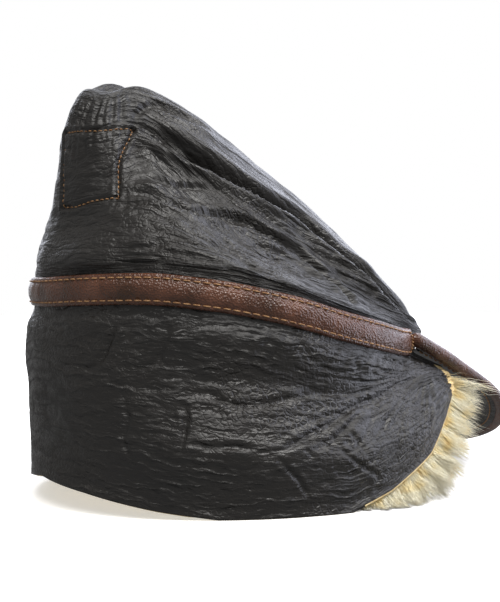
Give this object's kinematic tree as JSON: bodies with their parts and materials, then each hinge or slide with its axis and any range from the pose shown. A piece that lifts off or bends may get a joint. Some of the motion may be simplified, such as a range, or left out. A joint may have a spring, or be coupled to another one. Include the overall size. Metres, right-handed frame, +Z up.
{
  "type": "sheepskin flying cap",
  "caption": "Sheepskin flying cap with a dented leather crown, a banded seam, ear flaps lined with fleece and a soft visor, standing empty on its hem.",
  "frame": {"origin": "middle of the bounding box, on the surface that the hem stands on", "axes": "+X forward to the visor, +Z up to the crown, -Y the near side in the picture"},
  "size_m": [0.3134, 0.2268, 0.2375],
  "materials": {
    "dark_leather": "satin, creased",
    "brown_leather": "glossy, smooth",
    "fleece": "clipped wool pile"
  },
  "bodies": {
    "root": {"crown": "dark_leather", "ear_flaps": "dark_leather", "visor_underside": "dark_leather", "crown_fleece": "fleece", "flap_fleece": "fleece", "band": "brown_leather", "visor_top": "brown_leather", "visor_binding": "brown_leather"}
  },
  "joints": []
}
